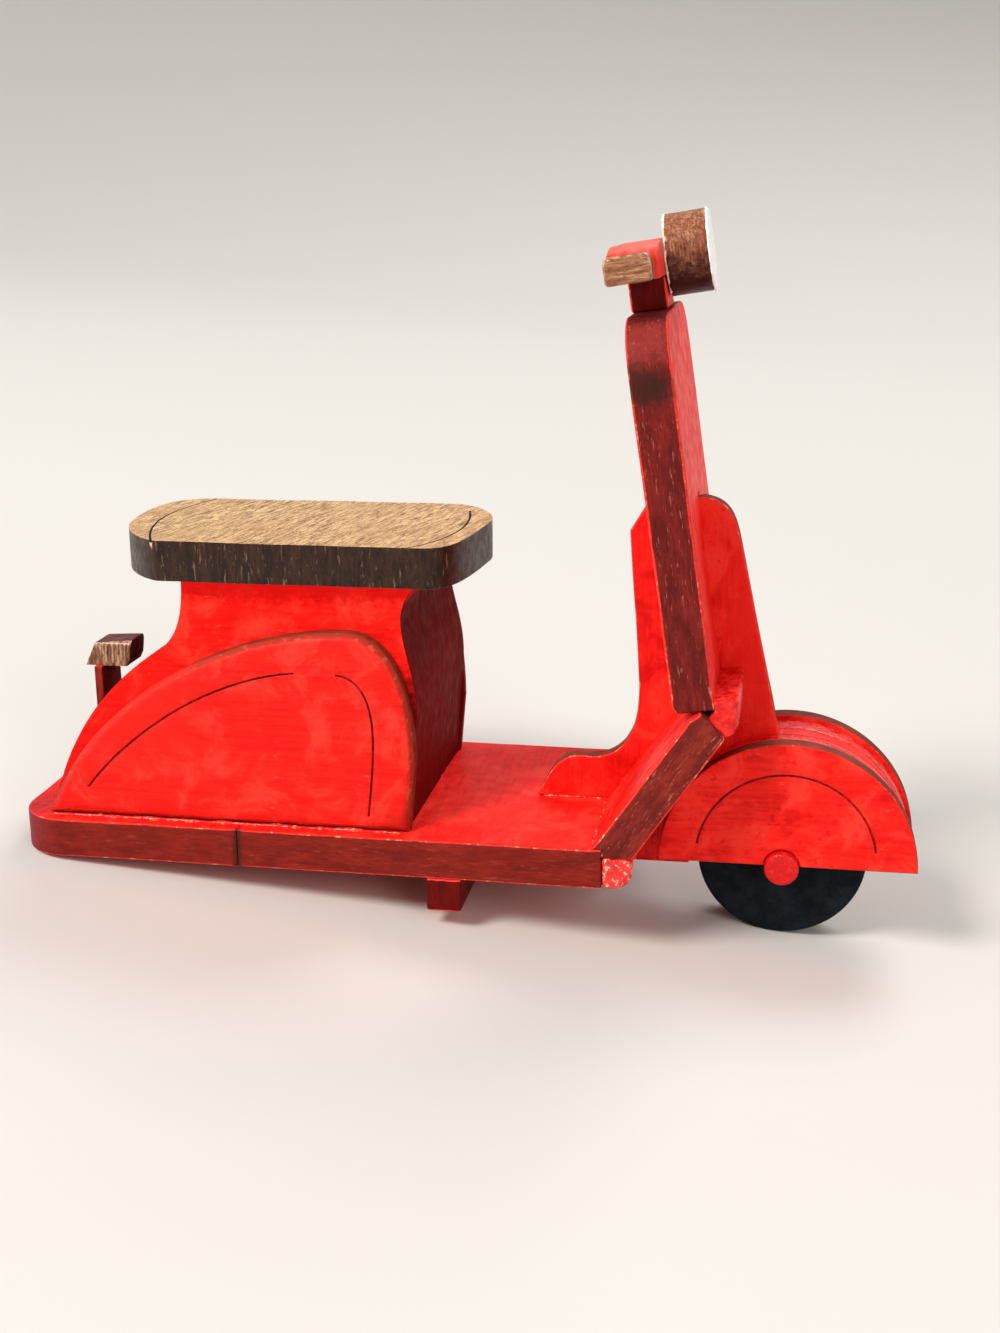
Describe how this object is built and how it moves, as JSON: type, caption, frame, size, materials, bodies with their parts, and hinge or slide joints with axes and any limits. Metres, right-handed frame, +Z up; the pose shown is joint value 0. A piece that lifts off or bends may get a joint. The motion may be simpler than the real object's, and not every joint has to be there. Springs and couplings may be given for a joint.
{
  "type": "toy scooter",
  "caption": "Small painted wooden motor scooter with a bench seat, tall leaning column, round headlight and a front wheel that turns under a half-round fender.",
  "frame": {"origin": "under the middle of the overall box, at the height of the front wheel's lowest point, with the deck level", "axes": "+X forwards along the deck, +Y to the scooter's left, +Z up"},
  "size_m": [0.1366, 0.0462, 0.1085],
  "materials": {
    "red_paint": "plywood under thin glossy red paint, dark red-brown where its edges are cut",
    "seat_stain": "walnut-brown stained wood with an open grain and a near-black edge",
    "brown_stain": "brown stained wood with glossy varnish",
    "lamp_stain": "brown stained wood, grain round the barrel, satin",
    "white_paint": "thick white paint with a ragged rim",
    "navy_paint": "matt navy-black paint"
  },
  "bodies": {
    "frame": {"deck_rear": "red_paint", "deck_front": "red_paint", "nose_right": "red_paint", "nose_left": "red_paint", "centre_stand": "red_paint", "core_layer_1": "red_paint", "core_layer_2": "red_paint", "core_layer_3": "red_paint", "core_layer_4": "red_paint", "core_layer_5": "red_paint", "core_layer_6": "red_paint", "cowl_right": "red_paint", "cowl_left": "red_paint", "seat": "seat_stain", "tail_post": "red_paint", "tail_cap": "brown_stain", "centre_plate": "red_paint", "brace_right": "red_paint", "brace_left": "red_paint", "column_board": "red_paint", "corner_block_right": "red_paint", "corner_block_left": "red_paint", "stem": "red_paint", "handlebar": "red_paint", "grip_right": "brown_stain", "grip_left": "brown_stain", "headlight_body": "lamp_stain", "headlight_face": "white_paint", "fender_side_right": "red_paint", "fender_side_left": "red_paint", "fender_spacer_right": "red_paint", "fender_spacer_left": "red_paint", "axle_dowel": "red_paint"},
    "wheel": {"front_wheel": "navy_paint"}
  },
  "joints": [
    {"name": "wheel_spin", "type": "hinge", "parent": "frame", "child": "wheel", "pos_m": [0.04825, 0, 0.0128], "axis": [0, 1, 0], "continuous": true}
  ]
}
